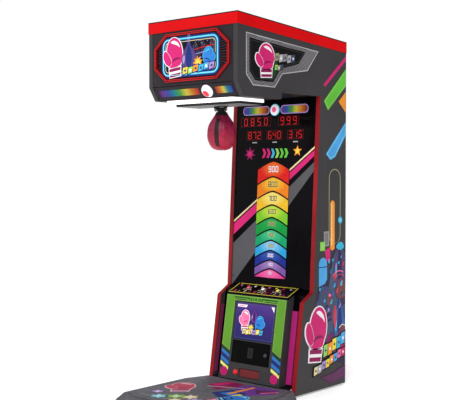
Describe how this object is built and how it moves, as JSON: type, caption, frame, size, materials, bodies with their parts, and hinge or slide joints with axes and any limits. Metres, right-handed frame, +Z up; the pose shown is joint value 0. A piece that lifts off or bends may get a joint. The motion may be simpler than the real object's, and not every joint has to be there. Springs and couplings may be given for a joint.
{
  "type": "boxing punch machine",
  "caption": "Coin-operated punching game: a tower cabinet with a head over the player, a hinged punching bag, score display, console with screen and a floor platform.",
  "frame": {"origin": "on the floor, under the middle of the whole footprint of platform and cabinet", "axes": "+Z up, -Y towards the player (front of the machine), +X to the right seen by the player"},
  "size_m": [0.89, 1.324, 2.2502],
  "materials": {
    "laminate": "charcoal printed laminate on board, satin",
    "black_board": "black satin laminate",
    "red_paint": "bright red gloss enamel",
    "red_trim": "dark red moulding",
    "red_metal": "red metallic paint",
    "printed_lens": "back-lit printed acrylic",
    "circuit_board": "green circuit board",
    "white_lens": "opal white diffuser",
    "light_bar": "rainbow lit diffuser",
    "grey_board": "light grey padded board with black edge",
    "black_steel": "black powder coat",
    "bright_steel": "bright turned steel",
    "bag_leather": "magenta leather with a black panel",
    "black_plastic": "fine grained black plastic",
    "chevron_lens": "lit coloured diffuser",
    "score_lens": "dark red display window",
    "green_paint": "lime green enamel",
    "screen_glass": "liquid crystal screen behind clear plastic",
    "button_plastic": "lit coloured plastic",
    "magenta_plastic": "lit magenta plastic",
    "rubber": "black rubber",
    "platform_steel": "dark grey textured powder coat",
    "mat": "printed anti-slip mat",
    "grey_steel": "zinc plated sheet"
  },
  "bodies": {
    "cabinet": {"bag_bracket": "black_steel", "base_frame": "black_steel", "button_switch_block": "black_plastic", "cabinet_floor": "black_board", "cash_box": "grey_steel", "chevron_lenses": "chevron_lens", "chin_lamp": "white_lens", "chin_light_bars": "light_bar", "chin_panel": "black_board", "coin_return_cup": "black_steel", "console_bezel": "green_paint", "console_shell": "laminate", "control_panel": "black_board", "crown_band": "red_paint", "display_led_board": "circuit_board", "display_lights": "light_bar", "display_panel": "black_board", "edge_trim_left": "red_trim", "edge_trim_right": "red_trim", "floor_platform": "platform_steel", "head_cross_beam": "black_steel", "head_floor_panel": "black_board", "head_front_panel": "black_board", "light_strip_left": "magenta_plastic", "light_strip_right": "magenta_plastic", "lower_front_panel": "black_board", "main_board": "circuit_board", "marquee_frame": "red_metal", "marquee_lens": "printed_lens", "marquee_light_board": "circuit_board", "monitor": "screen_glass", "platform_mat": "mat", "power_inlet": "black_plastic", "power_supply": "grey_steel", "rear_panel": "black_board", "rebound_board": "grey_board", "roof_panel": "black_board", "score_windows": "score_lens", "side_panel_left": "laminate", "side_panel_right": "laminate", "speaker_left": "magenta_plastic", "speaker_right": "magenta_plastic", "swing_sensor": "black_plastic", "under_light_box": "white_lens", "underside_lamps": "white_lens"},
    "bag_arm": {"swing_collar": "black_steel", "bag_hinge_pin": "bright_steel", "punching_bag": "bag_leather"},
    "coin_door": {"coin_door": "black_steel", "coin_acceptor": "black_plastic"},
    "coin_lock": {"coin_door_lock": "bright_steel"},
    "coin_reject": {"coin_reject_button": "red_paint"},
    "coin_flap": {"coin_return_flap": "red_paint"},
    "service_door": {"service_door": "black_board"},
    "service_lock": {"service_door_lock": "bright_steel"},
    "button_one": {"button_1": "button_plastic"},
    "button_two": {"button_2": "button_plastic"},
    "button_three": {"button_3": "button_plastic"},
    "wheel_left": {"transport_wheel_left": "rubber"},
    "wheel_right": {"transport_wheel_right": "rubber"}
  },
  "joints": [
    {"name": "bag_swing", "type": "hinge", "parent": "cabinet", "child": "bag_arm", "pos_m": [0, -0.127, 1.733], "axis": [1, 0, 0], "range_deg": [-40, 54]},
    {"name": "coin_door_hinge", "type": "hinge", "parent": "cabinet", "child": "coin_door", "pos_m": [-0.151, 0.14094, 0.22917], "axis": [0, -0.1676, -0.9859], "range_deg": [0, 100]},
    {"name": "coin_lock_turn", "type": "hinge", "parent": "coin_door", "child": "coin_lock", "pos_m": [0.12, 0.14193, 0.229], "axis": [0, 0.9859, -0.1676], "range_deg": [0, 90]},
    {"name": "coin_reject_press", "type": "slide", "parent": "cabinet", "child": "coin_reject", "axis": [0, 0.9859, -0.1676], "range_m": [0, 0.005], "stiffness_N_per_m": 300, "springref_m": -0.003},
    {"name": "coin_flap_swing", "type": "hinge", "parent": "cabinet", "child": "coin_flap", "pos_m": [0, 0.12832, 0.12357], "axis": [1, 0, 0], "range_deg": [0, 60], "stiffness_Nm_per_rad": 0.01, "springref_deg": -28.65},
    {"name": "service_door_hinge", "type": "hinge", "parent": "cabinet", "child": "service_door", "pos_m": [-0.198, 0.652, 0.7], "axis": [0, 0, 1], "range_deg": [0, 110]},
    {"name": "service_lock_turn", "type": "hinge", "parent": "service_door", "child": "service_lock", "pos_m": [0.165, 0.652, 0.7], "axis": [0, -1, 0], "range_deg": [0, 90]},
    {"name": "button_one_press", "type": "slide", "parent": "cabinet", "child": "button_one", "axis": [0, 0.3874, -0.9219], "range_m": [0, 0.004], "stiffness_N_per_m": 250, "springref_m": -0.003},
    {"name": "button_two_press", "type": "slide", "parent": "cabinet", "child": "button_two", "axis": [0, 0.3874, -0.9219], "range_m": [0, 0.004], "stiffness_N_per_m": 250, "springref_m": -0.003},
    {"name": "button_three_press", "type": "slide", "parent": "cabinet", "child": "button_three", "axis": [0, 0.3874, -0.9219], "range_m": [0, 0.004], "stiffness_N_per_m": 250, "springref_m": -0.003},
    {"name": "wheel_left_spin", "type": "hinge", "parent": "cabinet", "child": "wheel_left", "pos_m": [-0.2, 0.6, 0.0235], "axis": [1, 0, 0], "continuous": true},
    {"name": "wheel_right_spin", "type": "hinge", "parent": "cabinet", "child": "wheel_right", "pos_m": [0.2, 0.6, 0.0235], "axis": [1, 0, 0], "continuous": true}
  ]
}
